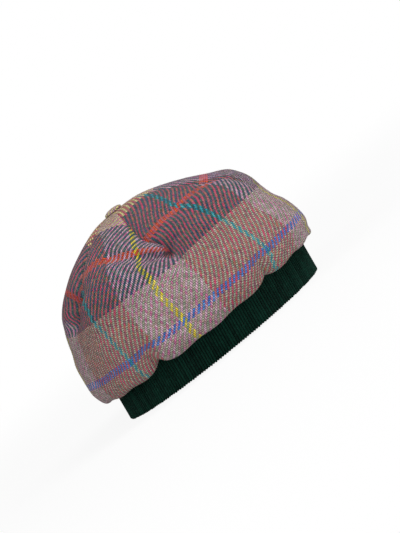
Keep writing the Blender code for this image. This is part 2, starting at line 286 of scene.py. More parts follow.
def finishTweed(name):
    look = clothLook
    material, bench, shader = newFinish(name, look)
    place = bench.node("ShaderNodeUVMap", {"uv_map": "weave"})
    colour, level, height = weaveYarns(bench, place)
    spot = bench.node("ShaderNodeTexCoord", out="Object")
    hair = bench.noise(spot, look["hairScale"], detail=3.0, rough=0.7)
    tuft = bench.noise(spot, look["tuftScale"], rough=0.6)
    wear = bench.noise(spot, look["wearScale"])
    # painted shade: the colour is darker between threads and towards the ends of floats
    gap = 1 - look["gapShade"] * (1 - height)
    shade = level * gap * about(look["wearShade"], wear) * about(look["hairShade"], hair)
    shaded = bench.shadeColour(colour, shade)
    woolly = bench.mixColour(
        bench.range(tuft, *look["tuftSpan"]) * look["fuzz"], shaded, screenColour(*look["pale"]))
    bench.feed(woolly, shader, "Base Color")
    lumps = height + hair * look["hairLump"] + tuft * look["tuftLump"]
    bench.feed(bench.bump(look["bump"], look["relief"], lumps), shader, "Normal")
    return material


# the crown and its band, by the same rule as the CAD solids with more rows and columns
bandShape = {
    "length": 0.2014, "width": 0.160, "height": 0.0350, "wall": 0.0034,
    "lean": 0.155, "setBack": 0.0033,
}

crownShape = {
    "length": 0.2336, "width": 0.212, "top": 0.1445, "wall": 0.0020, "drop": 0.0103,
    "frontLift": 0.0040, "seamGap": 0.0003, "seamLap": 0.0022, "hemClearance": 0.0008,
    "darts": 6, "dartTurn": math.radians(4.5), "dartLength": 0.108, "dartDepth": 0.0080,
    "dartSharpness": 0.60, "creaseWidth": 0.055, "troughWidth": 0.30,
    "lobeDrop": 0.0040, "shoulderDent": 0.0035, "shoulderDentWidth": 0.0095,
    "shoulderDentPlace": 0.90, "shoulderDentFade": (0.15, 0.95),
    "tuckRise": 0.0080, "tuckPinch": 0.0042, "tuckHalfWidth": 0.0038, "tuckReach": 0.042,
    "tuckShift": math.radians(-3.0), "frontReach": 0.060, "seamFade": (0.0, 0.9),
    "hemRipple": 0.0007, "hemWaves": 3,     # half waves of the lower edge in half a lobe
    "creaseFade": (0.90, 1.15), "lobeRise": (0.10, 0.80), "lobeFade": (0.95, 1.35),
    "rowPullFade": (0.70, 1.20), "shiftSpan": (0.55, 0.90),
    "turnChange": (0.65, 1.00), "turnFade": (1.15, 1.60),
    # reach, height, forward, as shares of half the length, the crown's height, half the length
    "dome": [
        (0.000, 1.000, -0.050), (0.170, 0.996, -0.035), (0.310, 0.960, -0.028),
        (0.510, 0.878, -0.018), (0.658, 0.797, -0.004), (0.765, 0.733, 0.020),
        (0.836, 0.655, 0.018), (0.872, 0.580, 0.014), (0.896, 0.500, 0.002),
        (0.922, 0.410, -0.003), (0.962, 0.325, 0.000), (0.987, 0.220, 0.003),
        (1.000, 0.115, 0.000), (0.985, 0.052, -0.006),
    ],
    # reach from band to widest ring, rise from the lowest edge to the band's top
    "under": [(0.780, 0.080), (0.540, 0.000), (0.300, 0.160), (0.130, 0.560)],
    # for each dart: degrees that it turns from its even place, by the button and at its tip, its
    # length and depth as shares of the usual, and the strength of the tuck after it
    "eachDart": {
        "top": (-5.5, 4.0, 0.0, 1.5, 0.0, -8.5), "tip": (1.0, 15.0, 6.0, -2.0, 1.5, -16.0),
        "length": (1.00, 0.96, 1.02, 0.95, 1.00, 0.90),
        "depth": (1.20, 0.45, 0.90, 1.00, 0.90, 1.70),
        "tuck": (0.50, 0.80, 0.70, 0.90, 0.70, 1.00),
    },
    "ownShapeReach": 0.70,      # nearness to a dart from which it has its own length and depth
    "valleyRadius": 0.085,      # metres of cloth for each radian round, where a valley is measured
    # soft valleys, and one ridge, each from one place to another in degrees round and metres from
    # the button, then its width and its depth
    "valleys": [
        ((-26, 0.074), (3, 0.104), 0.0075, 0.0046), ((24, 0.078), (30, 0.104), 0.0070, 0.0030),
        ((-7, 0.116), (-9, 0.160), 0.0130, 0.0046), ((11, 0.112), (7, 0.158), 0.0090, -0.0030),
        ((52, 0.120), (46, 0.160), 0.0120, 0.0020), ((150, 0.080), (158, 0.150), 0.0110, 0.0034),
        ((214, 0.112), (208, 0.165), 0.0130, 0.0030),
        ((262, 0.084), (254, 0.120), 0.0090, 0.0030),
    ],
    # distance and depth of a dart, as shares of its length and depth
    "dart": [(0.08, 0.0), (0.30, 0.22), (0.60, 0.42), (0.88, 0.85), (1.02, 1.0),
             (1.16, 0.50), (1.32, 0.0)],
    # rows of the mesh up to the corner over the band: end share, rows; then those behind it
    "rows": [(0.36, 24), (0.60, 34), (0.85, 28), (1.00, 46)],
    "hemRows": 3,
    "columnsPerHalfLobe": 22,
}


def smoothStep(low, high, value):
    share = np.clip((value - low) / (high - low), 0, 1)
    return share * share * (3 - 2 * share)


def bandMiddle(height):
    return -bandShape["setBack"] + bandShape["lean"] * height


class CrownRun:
    # the section through ovals (half length, half width, middle, height), along the cloth
    def __init__(self):
        crown, band = crownShape, bandShape
        self.low = band["height"] - crown["drop"]
        rows = [
            (reach * crown["length"] / 2, reach * crown["width"] / 2,
             forward * crown["length"] / 2, self.low + height * (crown["top"] - self.low))
            for reach, height, forward in crown["dome"]]
        for reach, rise in crown["under"]:
            height = self.low + rise * crown["drop"]
            rows.append((
                band["length"] / 2 + reach * (crown["length"] - band["length"]) / 2,
                band["width"] / 2 + reach * (crown["width"] - band["width"]) / 2,
                (1 - reach) * bandMiddle(height), height))
        height = band["height"] + crown["seamGap"]
        for offset in (crown["hemClearance"], -crown["seamLap"]):
            rows.append((
                band["length"] / 2 + offset, band["width"] / 2 + offset,
                bandMiddle(height), height))
        self.ovals = np.array(rows)
        steps = np.diff(self.ovals, axis=0)
        run = np.hypot((steps[:, 0] + steps[:, 1]) / 2, steps[:, 3])
        self.distances = np.concatenate([[0.0], np.cumsum(run)])
        self.length = self.distances[-1]
        self.corner = self.distances[-2]
        self.lowest = self.distances[len(crown["dome"]) + 1]
        mirrored = self.ovals[1] * [-1, -1, 1, 1]
        wide = np.vstack([mirrored, self.ovals, self.ovals[-1]])
        places = np.concatenate([[-self.distances[1]], self.distances, [self.length + 1e-9]])
        self.slopes = (wide[2:] - wide[:-2]) / (places[2:] - places[:-2])[:, None]

    def oval(self, distance):
        distance = np.clip(distance, 0, self.length)
        last = len(self.distances) - 2
        index = np.clip(np.searchsorted(self.distances, distance, side="left") - 1, 0, last)
        span = self.distances[index + 1] - self.distances[index]
        share = ((distance - self.distances[index]) / span)[..., None]
        span = span[..., None]
        return (
            (1 + 2 * share) * (1 - share) ** 2 * self.ovals[index]
            + share ** 2 * (3 - 2 * share) * self.ovals[index + 1]
            + share * (1 - share) ** 2 * span * self.slopes[index]
            + share ** 2 * (share - 1) * span * self.slopes[index + 1])

    def point(self, distance, turn):
        oval = self.oval(distance)
        return np.stack([
            oval[..., 2] + oval[..., 0] * np.sin(turn),
            -oval[..., 1] * np.cos(turn), oval[..., 3]], -1)

    def outward(self, distance, turn):
        small = 0.0004
        inner = np.maximum(distance, small)
        down = self.point(inner + small, turn) - self.point(inner - small, turn)
        beside = self.point(inner, turn + small) - self.point(inner, turn - small)
        normal = np.cross(down, beside)
        return normal / np.linalg.norm(normal, axis=-1, keepdims=True)


crownRun = CrownRun()
lobeAngle = 2 * math.pi / crownShape["darts"]


def dartInset(dart, distance, nearDart):
    crown = crownShape
    own = smoothStep(0, crown["ownShapeReach"], nearDart)
    length = crown["dartLength"] * (1 + (dartColumn(dart, "length") - 1) * own)
    strength = 1 + (dartColumn(dart, "depth") - 1) * own
    along = distance / length
    sharp = crown["dartSharpness"] * (1 - smoothStep(*crown["creaseFade"], along))
    crease = sharp * np.exp((nearDart - 1) / crown["creaseWidth"])
    trough = (1 - sharp) * np.exp(-((nearDart - 1) / crown["troughWidth"]) ** 2)
    places, depths = zip(*crown["dart"])
    depth = strength * crown["dartDepth"] * np.interp(along, places, depths)
    lobe = smoothStep(*crown["lobeRise"], along) * (1 - smoothStep(*crown["lobeFade"], along))
    dentPlace = distance - crown["shoulderDentPlace"] * length
    dent = np.exp(-(dentPlace / crown["shoulderDentWidth"]) ** 2)
    dent = dent * smoothStep(*crown["shoulderDentFade"], nearDart)
    return (depth * (crease + trough) + crown["lobeDrop"] * lobe * nearDart ** 2
            + strength * crown["shoulderDent"] * dent)


def dartColumn(dart, name):
    return np.array(crownShape["eachDart"][name])[dart % crownShape["darts"]]


def dartTurn(dart, along):
    crown = crownShape
    top, tip = dartColumn(dart, "top"), dartColumn(dart, "tip")
    change = top + (tip - top) * smoothStep(*crown["turnChange"], along)
    change = change * (1 - smoothStep(*crown["turnFade"], along))
    return crown["dartTurn"] + dart * lobeAngle + np.radians(change)


def clothTurn(dart, side, nearDart, along):
    atDart = dartTurn(dart, along)
    middle = (atDart + dartTurn(dart + side, along)) / 2
    return middle + nearDart * (atDart - middle)


def valleyInset(turn, distance):
    reach, inset = crownShape["valleyRadius"], 0.0
    for (startTurn, startRun), (endTurn, endRun), width, depth in crownShape["valleys"]:
        acrossRun = math.radians(endTurn - startTurn) * reach
        downRun = endRun - startRun
        beside = (turn - math.radians(startTurn) + math.pi) % (2 * math.pi) - math.pi
        acrossHere = beside * reach
        downHere = distance - startRun
        share = np.clip(
            (acrossHere * acrossRun + downHere * downRun) / (acrossRun ** 2 + downRun ** 2), 0, 1)
        off = np.hypot(acrossHere - share * acrossRun, downHere - share * downRun)
        inset = inset + depth * np.exp(-(off / width) ** 2)
    return inset


def crownPoints(dart, side, nearDart, distance):
    # arrays of equal shape; nearDart is 1 on the dart and 0 halfway to the next
    crown, band = crownShape, bandShape
    leanOut = 1 / np.cos(np.arctan(nearDart * math.tan(lobeAngle / 2))) - 1
    pull = leanOut * distance * (
        1 - smoothStep(*crown["rowPullFade"], distance / crown["dartLength"]))
    place = np.minimum(distance + pull, crownRun.length)
    downSide = smoothStep(*crown["shiftSpan"], place / crownRun.length)
    turn = (clothTurn(dart, side, nearDart, place / crown["dartLength"])
            + crown["tuckShift"] * downSide)
    inset = dartInset(dart, distance, nearDart) + valleyInset(turn, distance)
    points = crownRun.point(place, turn)
    points = points - crownRun.outward(place, turn) * inset[..., None]

    fromTuck = nearDart * lobeAngle / 2 * (band["length"] + band["width"]) / 4
    strength = dartColumn(np.where(side > 0, dart, dart - 1), "tuck")
    pinch = strength / (1 + (fromTuck / crown["tuckHalfWidth"]) ** 2)
    ripple = crown["hemRipple"] * np.cos(crown["hemWaves"] * math.pi * nearDart) * (1 - pinch)
    front = crown["frontLift"] * ((1 + np.sin(turn)) / 2) ** 2
    above = crownRun.lowest - place
    under = np.maximum(-above, 0) / (crownRun.length - crownRun.lowest)
    seamFade = 1 - smoothStep(*crown["seamFade"], under)
    tuckShare = seamFade * (1 - smoothStep(0.0, crown["tuckReach"], above))
    frontShare = seamFade * (1 - smoothStep(0.0, crown["frontReach"], above))
    pinchShare = tuckShare * smoothStep(-crown["tuckPinch"], 2 * crown["tuckPinch"], above)
    points[..., 2] += tuckShare * (crown["tuckRise"] * pinch + ripple) + frontShare * front
    oval = crownRun.oval(place)
    outX, outY = oval[..., 1] * np.sin(turn), -oval[..., 0] * np.cos(turn)
    inward = crown["tuckPinch"] * pinch * pinchShare / np.hypot(outX, outY)
    points[..., 0] -= outX * inward
    points[..., 1] -= outY * inward
    return points


# how the cloth lies on the crown: each half lobe is a patch with its own threads
# another script worked out the first and last lobe's values from the photo, and the side's
# from -64 to 80 degrees; they are rounded, and the fifth lobe's are close to its results
clothLay = {
    "runs": (25, 55, 85, 115),  # mm from the button
    # each lobe's values at the four runs, the lobes in the order of the darts before them
    "lobes": {
        # warp thread in the middle of the lobe
        "end": [
            (94, 101, 112, 121), (149, 150, 158, 171), (262, 260, 259, 259),
            (340, 338, 336, 336), (476, 472, 451, 414), (532, 521, 519, 516)],
        # warp threads more for each mm beside the middle, and how that changes outwards
        "across": [
            (0.88, 0.87, 0.79, 0.62), (0.80, 0.80, 0.76, 0.72), (0.80, 0.80, 0.76, 0.72),
            (0.80, 0.80, 0.76, 0.72), (0.81, 0.81, 0.81, 0.75), (0.70, 0.67, 0.72, 0.64)],
        "bow": [
            (-0.001, -0.001, -0.0015, -0.003), (0.002, 0.001, 0, 0), (0, 0, 0.001, 0),
            (0, -0.001, 0, 0), (0, 0, 0, 0), (0.009, 0.0055, 0.003, 0)],
        # weft thread in the middle of the lobe
        "pick": [
            (21, 34.5, 53, 74), (17, 37, 56, 74), (18, 37, 56, 74),
            (17, 36, 56, 74), (19, 34, 53, 74), (12.5, 39.5, 56, 72.5)],
        # weft threads more for each mm beside the middle, and how that changes outwards
        "slope": [
            (0.05, -0.02, -0.03, -0.01), (-0.10, -0.12, -0.10, 0), (0.12, 0.08, 0.06, 0),
            (-0.12, -0.10, -0.06, 0), (0.01, 0.02, 0.01, 0), (-0.30, -0.16, -0.07, -0.02)],
        "sag": [
            (0.003, 0.003, 0.0015, 0), (0.004, 0.002, 0.001, 0), (0.003, 0.002, 0.001, 0),
            (0.003, 0.001, 0, 0), (0, 0, 0, 0), (0.005, -0.0025, -0.002, 0)],
    },
    "runLimits": (12, 128),     # mm between which these lists are used
    "firstPicks": 645,          # weft threads for each metre nearer to the button than that
    "gatherSpan": (0.90, 1.25), # dart lengths over which they meet the threads of the side
    # the side: degrees round, and the warp thread there just below the darts, at the blue
    # line, and at the lower edge
    "ends": [
        (-108, -140, -140, -140), (-64, -82, -88, -89), (-55, -51, -72, -74),
        (-48, -27, -56, -60), (-35, -9, -26, -33), (-28, 0, -13, -16), (-22, 9, -1, 0),
        (-12, 24, 14, 13), (-5, 33, 25, 22), (8, 49, 45, 42), (12, 57, 52, 48),
        (36, 104, 95, 97), (41, 111, 104, 106), (57, 132, 129, 130), (80, 155, 156, 157),
        (112, 205, 205, 205), (180, 292, 292, 292),
    ],
    "endsRuns": (0.118, 0.165, 0.195),
    "sidePick": (78, 0.1213),   # a weft thread of the side, and its run
    "firstEnd": 393,            # added to every thread number, so that none is below 0
    "round": 524,               # warp threads once round the side
}


def sideEnds(turn, distance):
    # warp threads below the darts
    lay = clothLay
    degrees, *columns = map(np.array, zip(*lay["ends"]))
    turn = np.degrees(turn)
    around = np.floor((turn - degrees[0]) / 360)
    turn = turn - around * 360
    degrees = np.append(degrees, degrees[0] + 360)
    rows = [np.interp(turn, degrees, np.append(column, column[0] + lay["round"]))
            for column in columns]
    upper, line, edge = lay["endsRuns"]
    down = np.clip((distance - upper) / (line - upper), 0, 1)
    low = np.clip((distance - line) / (edge - line), 0, 1)
    ends = rows[0] + (rows[1] - rows[0]) * down + (rows[2] - rows[1]) * low
    return ends + around * lay["round"]


def laidRow(lobe, name, run):
    # a lobe's value at any run, by the cubic through its four
    lay = clothLay
    values = np.array(lay["lobes"][name])[lobe]
    total = 0.0
    for index, own in enumerate(lay["runs"]):
        share = 1.0
        for other in lay["runs"]:
            if other != own:
                share = share * (run - other) / (own - other)
        total = total + values[..., index] * share
    return total


def clothThreads(dart, side, nearDart, distance):
    # warp and weft thread at a place of the cloth
    lay, crown = clothLay, crownShape
    lobe = np.where(side > 0, dart, dart - 1) % crown["darts"]
    along = distance / crown["dartLength"]
    turn = clothTurn(dart, side, nearDart, along)
    middle = clothTurn(dart, side, 0 * nearDart, along)
    off = 1000 * distance * np.tan(np.clip(turn - middle, -1, 1))
    run = np.clip(1000 * distance, *lay["runLimits"])
    ends = (laidRow(lobe, "end", run) + laidRow(lobe, "across", run) * off
            + laidRow(lobe, "bow", run) * off ** 2)
    picks = (laidRow(lobe, "pick", run) + laidRow(lobe, "slope", run) * off
             + laidRow(lobe, "sag", run) * off ** 2
             + lay["firstPicks"] * np.minimum(distance - lay["runLimits"][0] / 1000, 0))
    blend = smoothStep(*lay["gatherSpan"], along)
    sidePick, sideRun = lay["sidePick"]
    sidePicks = sidePick + (distance - sideRun) / clothLook["pickPitch"]
    ends = ends + (sideEnds(turn, distance) - ends) * blend
    picks = picks + (sidePicks - picks) * blend
    return ends + lay["firstEnd"], picks


def addMesh(name, points, faces, uvName=None, uvs=None):
    mesh = bpy.data.meshes.new(name)
    mesh.from_pydata([tuple(point) for point in points], [], faces)
    if uvs is not None:
        layer = mesh.uv_layers.new(name=uvName)
        layer.data.foreach_set("uv", np.asarray(uvs, np.float32).ravel())
    mesh.shade_smooth()
    mesh.update()
    piece = bpy.data.objects.new(name, mesh)
    scene.collection.objects.link(piece)
    return piece


def fanFaces(tip, first, count):
    # faces from one point to the ring of points that starts at first
    return [(tip, first + column, first + (column + 1) % count) for column in range(count)]


def ringFaces(first, rings, count, closed=False):
    # faces between rings of points that follow each other, closed from the last to the first
    faces = []
    for ring in range(rings if closed else rings - 1):
        top, low = first + ring * count, first + (ring + 1) % rings * count
        for column in range(count):
            after = (column + 1) % count
            faces.append((top + column, low + column, low + after, top + after))
    return faces


def bakeModifiers(piece):
    # the evaluated shape becomes a plain mesh
    graph = bpy.context.evaluated_depsgraph_get()
    mesh = bpy.data.meshes.new_from_object(
        piece.evaluated_get(graph), preserve_all_data_layers=True, depsgraph=graph)
    piece.modifiers.clear()
    piece.data = mesh
    return piece


def makeCloth():
    crown = crownShape
    steps, hemRows = crown["columnsPerHalfLobe"], crown["hemRows"]
    patches = []                # dart, side, nearness to the dart at each column's two edges
    for dart in range(crown["darts"]):
        for owner, side in ((dart, 1), (dart + 1, -1)):
            for step in range(steps):
                near = [
                    (1 + side * math.cos(math.pi * edge / steps)) / 2 for edge in (step, step + 1)]
                patches.append((owner, side, *near))
    dart, side, nearLeft, nearRight = map(np.array, zip(*patches))
    distances, start = [], 0.0
    for end, rows in crown["rows"]:
        shares = start + (end - start) * np.arange(1, rows + 1) / rows
        distances.extend(shares * crownRun.corner)
        start = end
    hem = crownRun.length - crownRun.corner
    distances += [crownRun.corner + hem * row / hemRows for row in range(1, hemRows + 1)]
    count, rows = len(patches), len(distances)
    dart, side, nearLeft, nearRight = [
        np.broadcast_to(values, (rows, count)) for values in (dart, side, nearLeft, nearRight)]
    reach = np.broadcast_to(np.array(distances)[:, None], (rows, count))
    points = crownPoints(dart, side, nearLeft, reach).reshape(-1, 3)
    pole = crownRun.point(np.array(0.0), np.array(0.0))
    points = np.vstack([pole[None], points])
    faces = fanFaces(0, 1, count) + ringFaces(1, rows, count)

    left = np.stack(clothThreads(dart, side, nearLeft, reach), -1)
    right = np.stack(clothThreads(dart, side, nearRight, reach), -1)
    top = np.stack([(left[0, :, 0] + right[0, :, 0]) / 2, np.zeros(count)], -1)
    uvs = np.concatenate([
        np.stack([top, left[0], right[0]], 1).reshape(-1, 2),
        np.stack([left[:-1], left[1:], right[1:], right[:-1]], 2).reshape(-1, 2)])
    return addMesh("tweedCrown", points, faces, "weave", uvs)


# the headband: a folded strip, whose ribs are Geometry Nodes
bandLook = {
    "ribs": 234,                # ribs all round
    "stepsPerRib": 8,
    "measuredSteps": 8,         # places measured for each step, so that the ribs are even
    "outsideRows": 12, "foldRows": 8, "insideRows": 5,
    "ribDepth": 0.00105,
    "ribCurve": 1.6,            # higher makes flatter ribs with narrower grooves
    "unevenness": 0.45,         # how much less some ribs stand out than others
    "seed": 5,
    "stitchesUp": 21,           # knitted rows from the fold to the seam
    "topStitches": 2,           # and over the top edge
    "stitchSlant": 0.55,        # how far a stitch's legs rise from the rib's middle to its edge
    "legFade": 3.0, "legSpan": (0.0, 0.3),  # where a leg ends, at the edge and in the middle
    "legShade": 0.30, "ribShade": 0.50,     # painted shade: brightness of the stitches and of the ribs, darker at their edges
    "ribFade": 2.0,             # higher pushes the painted shade of a rib nearer to its edges
    # how much lighter or darker some ribs, stitches, hairs and patches are
    "ribChange": 0.3, "stitchChange": 0.2, "hairChange": 0.4, "patchChange": 0.3,
    "hairScale": 2200, "patchScale": 30,
    "relief": 0.0004, "bump": 0.7, "hairLump": 0.3,         # metres, and how strongly
    "colour": (14, 56, 44), "deep": (3, 12, 10),            # on the ribs, and the painted shade in the grooves between them
    "roughness": 0.9, "specular": 0.08, "sheen": 0.02, "sheenRoughness": 0.4,
}


def bandProfile():
    # inset from the outside and height, from the top edge down the outside and up the inside
    look, band = bandLook, bandShape
    fold = band["wall"] / 2
    straight = band["height"] - fold
    outside, bend, inside = look["outsideRows"], look["foldRows"], look["insideRows"]
    profile = [(0.0, band["height"] - straight * row / outside) for row in range(outside + 1)]
    for row in range(1, bend + 1):
        angle = math.pi * row / bend
        profile.append((fold - fold * math.cos(angle), fold - fold * math.sin(angle)))
    profile += [(band["wall"], fold + straight * row / inside) for row in range(1, inside + 1)]
    return profile


def makeBandBody():
    look, band = bandLook, bandShape
    count = look["ribs"] * look["stepsPerRib"]
    halfLength, halfWidth = band["length"] / 2, band["width"] / 2
    fine = np.linspace(0, 2 * math.pi, look["measuredSteps"] * count + 1)
    along = np.concatenate([[0], np.cumsum(np.hypot(
        np.diff(halfLength * np.sin(fine)), np.diff(halfWidth * np.cos(fine))))])
    turns = np.interp(np.arange(count) / count * along[-1], along, fine)
    outward = np.stack([halfWidth * np.sin(turns), -halfLength * np.cos(turns)], -1)
    outward /= np.linalg.norm(outward, axis=1, keepdims=True)
    profile = bandProfile()
    points = np.concatenate([np.stack([
        bandMiddle(height) + halfLength * np.sin(turns) - outward[:, 0] * inset,
        -halfWidth * np.cos(turns) - outward[:, 1] * inset,
        np.full(count, height)], -1) for inset, height in profile])
    faces = ringFaces(0, len(profile), count, closed=True)

    # the knit is counted in ribs round and stitches up
    stitch = band["height"] / look["stitchesUp"]
    runs = np.concatenate([[0], np.cumsum([
        math.dist(upper, lower) for upper, lower in zip(profile, profile[1:])])]) / stitch
    uvs = []
    for high, low in zip(runs, [*runs[1:], runs[-1] + look["topStitches"]]):
        for column in range(count):
            left, right = column / look["stepsPerRib"], (column + 1) / look["stepsPerRib"]
            uvs += [(left, high), (left, low), (right, low), (right, high)]
    return addMesh("knitHeadband", points, faces, "knit", uvs)


def newGeometryTree(name, inputs):
    tree = bpy.data.node_groups.new(name, "GeometryNodeTree")
    tree.interface.new_socket("Geometry", in_out="INPUT", socket_type="NodeSocketGeometry")
    for label, kind in inputs:
        tree.interface.new_socket(label, in_out="INPUT", socket_type="NodeSocket" + kind)
    tree.interface.new_socket("Geometry", in_out="OUTPUT", socket_type="NodeSocketGeometry")
    bench = Bench(tree)
    return tree, bench, bench.node("NodeGroupInput")


def endTree(bench, shape, finish):
    whole = bench.node("GeometryNodeRealizeInstances", None, {"Geometry": shape})
    done = bench.node("GeometryNodeSetMaterial", None, {"Geometry": whole, "Material": finish})
    bench.node("NodeGroupOutput", None, {"Geometry": done})


def useTree(piece, tree, values):
    modifier = piece.modifiers.new(tree.name, "NODES")
    modifier.node_group = tree
    for item in tree.interface.items_tree:
        if item.item_type == "SOCKET" and item.in_out == "INPUT" and item.name in values:
            modifier[item.identifier] = values[item.name]


def ribTree():
    tree, bench, given = newGeometryTree("ribs", [
        ("Rib Depth", "Float"), ("Rib Curve", "Float"), ("Unevenness", "Float"), ("Seed", "Int"),
        ("Finish", "Material")])
    knit = bench.node(
        "GeometryNodeInputNamedAttribute", {"data_type": "FLOAT_VECTOR"}, {"Name": "knit"})
    across, _, _ = bench.split(knit)
    rib = across.floor()
    inRib = across - rib
    profile = 1 - (inRib * 2 - 1).size() ** given.out("Rib Curve")
    chance = bench.chance(0.0, 1.0, {"ID": rib, "Seed": given.out("Seed")})
    amount = (profile * (1 - chance * given.out("Unevenness")) - 1) * given.out("Rib Depth")
    normal = bench.node("GeometryNodeInputNormal")
    offset = bench.node(
        "ShaderNodeVectorMath", {"operation": "SCALE"}, {0: normal, "Scale": amount})
    moved = bench.node(
        "GeometryNodeSetPosition", None, {"Geometry": given.out("Geometry"), "Offset": offset})
    endTree(bench, moved, given.out("Finish"))
    return tree


def finishKnit(name):
    look = bandLook
    material, bench, shader = newFinish(name, look)
    place = bench.node("ShaderNodeUVMap", {"uv_map": "knit"})
    across, up, _ = bench.split(place)
    rib = across.floor()
    inRib = across - rib
    fromMiddle = (inRib * 2 - 1).size()
    stitch = up + fromMiddle * look["stitchSlant"]
    inStitch = stitch - stitch.floor()
    leg = (inStitch * math.pi).sine() * (1 - fromMiddle ** look["legFade"])
    leg = leg * bench.range(fromMiddle, *look["legSpan"])
    spot = bench.node("ShaderNodeTexCoord", out="Object")
    hair = bench.noise(spot, look["hairScale"], detail=3.0, rough=0.7)
    patch = bench.noise(spot, look["patchScale"])
    jitter = bench.node("ShaderNodeTexWhiteNoise", {"noise_dimensions": "2D"}, {
        "Vector": bench.join(rib, stitch.floor())})
    ribJitter = bench.node("ShaderNodeTexWhiteNoise", {"noise_dimensions": "1D"}, {"W": rib})
    # painted shade: darker in the grooves between ribs and at the edges of stitch legs, lighter on
    # their middles; the chances add random tone
    light = leg * look["legShade"] + (1 - fromMiddle ** look["ribFade"]) * look["ribShade"]
    for chance, change in (
            (ribJitter, "ribChange"), (jitter, "stitchChange"), (hair, "hairChange"),
            (patch, "patchChange")):
        light = light + (chance - 0.5) * look[change]
    colour = bench.mixColour(
        bench.range(light, 0.0, 1.0), screenColour(*look["deep"]), screenColour(*look["colour"]))
    bench.feed(colour, shader, "Base Color")
    lumps = leg + hair * look["hairLump"]
    bench.feed(bench.bump(look["bump"], look["relief"], lumps), shader, "Normal")
    return material


# the covered button, its cloth pulled over the rim in pleats
buttonShape = {
    "diameter": 0.0165, "height": 0.0036,
    "swell": 0.22,              # height of the widest ring, as a share of the whole
    "seat": 0.94,               # width of the foot, as a share of the diameter
    "tuck": 0.4,                # height of the ring between them, as a share of the widest's
    "gap": 0.0003,              # room between the button and the crown
    "pleats": 14, "pleatDepth": 0.035, "pleatFade": 4,
    "slowPleats": 5, "slowShare": 0.5, "slowStart": 1,      # a slower wave makes them uneven
    "middleEnd": 14, "middlePick": 12,                      # threads at its middle
    "columns": 112, "rings": 16,
}


def makeButton():
    shape = buttonShape
    radius, swell = shape["diameter"] / 2, shape["height"] * shape["swell"]
    centre = Vector((
        crownShape["dome"][0][2] * crownShape["length"] / 2, 0, crownShape["top"] + shape["gap"]))
    outline = [(0.0, shape["height"])]
    for step in range(1, shape["rings"] + 1):
        angle = math.pi / 2 * step / shape["rings"]
        outline.append((
            radius * math.sin(angle), swell + (shape["height"] - swell) * math.cos(angle)))
    outline.append((radius * (1 + shape["seat"]) / 2, swell * shape["tuck"]))
    outline.append((radius * shape["seat"], 0.0))
    count = shape["columns"]
    middle = (clothLay["firstEnd"] + shape["middleEnd"], shape["middlePick"])
    points, threads, flat = [], [], 0.0
    for index, (across, up) in enumerate(outline):
        if index:
            flat += math.dist(outline[index - 1], (across, up))
        deep = shape["pleatDepth"] * (across / radius) ** shape["pleatFade"]
        for column in range(count if index else 1):
            turn = 2 * math.pi * column / count
            wave = math.cos(shape["pleats"] * turn) + shape["slowShare"] * math.cos(
                shape["slowPleats"] * turn + shape["slowStart"])
            pleat = 1 + deep * wave - 0.5 * deep
            points.append((
                centre.x + across * pleat * math.cos(turn),
                centre.y + across * pleat * math.sin(turn), centre.z + up))
            threads.append((
                middle[0] + flat * math.cos(turn) / clothLook["endPitch"],
                middle[1] - flat * math.sin(turn) / clothLook["pickPitch"]))
    rings = len(outline) - 1
    faces = fanFaces(0, 1, count) + ringFaces(1, rings, count)
    last = 1 + (rings - 1) * count
    points.append((centre.x, centre.y, centre.z))
    threads.append(middle)
    for column in range(count):
        faces.append((last + column, len(points) - 1, last + (column + 1) % count))
    uvs = [threads[corner] for face in faces for corner in face]
    return addMesh("coveredButton", points, faces, "weave", uvs)


# loose fibres on the cloth
fuzzLook = {
    "density": 70000,           # fibres for each square metre
    "length": 0.0019, "thickness": 0.000045, "sides": 3, "joints": 3,
    "bend": 0.35, "taper": 0.6, # how far the tip hangs over, and how much thinner it gets
    "leanLow": 35, "leanHigh": 80,          # degrees from upright
    "wholeTurn": 6.283,                     # radians that they are spun over
    "smallest": 0.4, "largest": 1.0,        # shares of the full size
    "seed": 11, "leanSeed": 1, "spinSeed": 2, "sizeSeed": 3,
    "pale": (176, 164, 158), "paleShare": 0.18, "shade": 0.5,
    "roughness": 0.9, "specular": 0.2, "sheen": 0.1, "sheenRoughness": 0.5,
}


def makeFibre():
    look = fuzzLook
    sides, joints = look["sides"], look["joints"]
    points, faces = [], []
    for joint in range(joints):
        share = joint / joints
        bend = look["length"] * look["bend"] * share ** 2
        radius = look["thickness"] * (1 - look["taper"] * share)
        for side in range(sides):
            turn = 2 * math.pi * side / sides
            points.append((
                bend + radius * math.cos(turn), radius * math.sin(turn), look["length"] * share))
    points.append((look["length"] * look["bend"], 0, look["length"]))
    for joint in range(joints - 1):
        for side in range(sides):
            after = (side + 1) % sides
            low, high = joint * sides, (joint + 1) * sides
            faces.append((low + side, low + after, high + after, high + side))
    last = (joints - 1) * sides
    for side in range(sides):
        faces.append((last + side, last + (side + 1) % sides, len(points) - 1))
    faces.append(tuple(reversed(range(sides))))
    return addMesh("fibre", points, faces)


